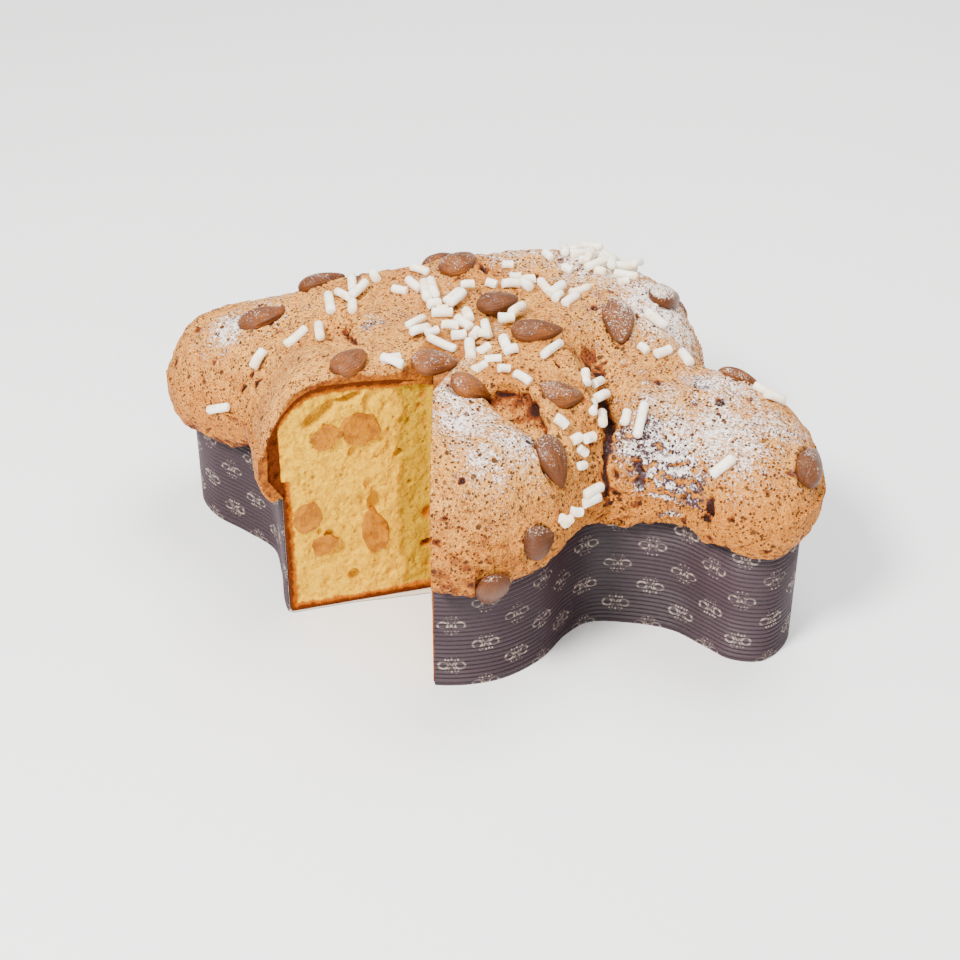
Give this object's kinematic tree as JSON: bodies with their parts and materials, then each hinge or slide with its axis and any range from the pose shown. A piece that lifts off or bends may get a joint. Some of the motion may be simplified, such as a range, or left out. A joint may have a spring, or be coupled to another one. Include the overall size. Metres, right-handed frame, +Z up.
{
  "type": "colomba cake",
  "caption": "Dove-shaped sweet Easter loaf in a paper baking case, crusted with glaze, almonds and pearl sugar, with a slice cut out to show its soft crumb.",
  "frame": {"origin": "on the table under the middle of the baking case", "axes": "+X from the head of the dove to its tail, -Y to the wing with the missing slice, +Z up out of the loaf"},
  "size_m": [0.2955, 0.2117, 0.1202],
  "materials": {
    "paper_case": "ribbed dark mauve baking paper with a pale foil flower pattern",
    "cake": "soft open yellow crumb",
    "glaze": "dry baked almond glaze dusted with icing sugar",
    "almond": "roasted almond skin, satin",
    "candied_orange": "moist candied orange peel"
  },
  "bodies": {
    "root": {"paper_case": "paper_case", "cake": "cake", "glaze": "glaze", "almond_01": "almond", "almond_02": "almond", "almond_03": "almond", "almond_04": "almond", "almond_05": "almond", "almond_06": "almond", "almond_07": "almond", "almond_08": "almond", "almond_09": "almond", "almond_10": "almond", "almond_11": "almond", "almond_12": "almond", "almond_13": "almond", "almond_14": "almond", "almond_15": "almond", "almond_16": "almond", "almond_17": "almond", "almond_18": "almond", "almond_19": "almond", "almond_20": "almond", "almond_21": "almond", "almond_22": "almond", "candied_orange_01": "candied_orange", "candied_orange_02": "candied_orange", "candied_orange_03": "candied_orange", "candied_orange_04": "candied_orange", "candied_orange_05": "candied_orange", "candied_orange_06": "candied_orange", "candied_orange_07": "candied_orange", "candied_orange_08": "candied_orange"}
  },
  "joints": []
}
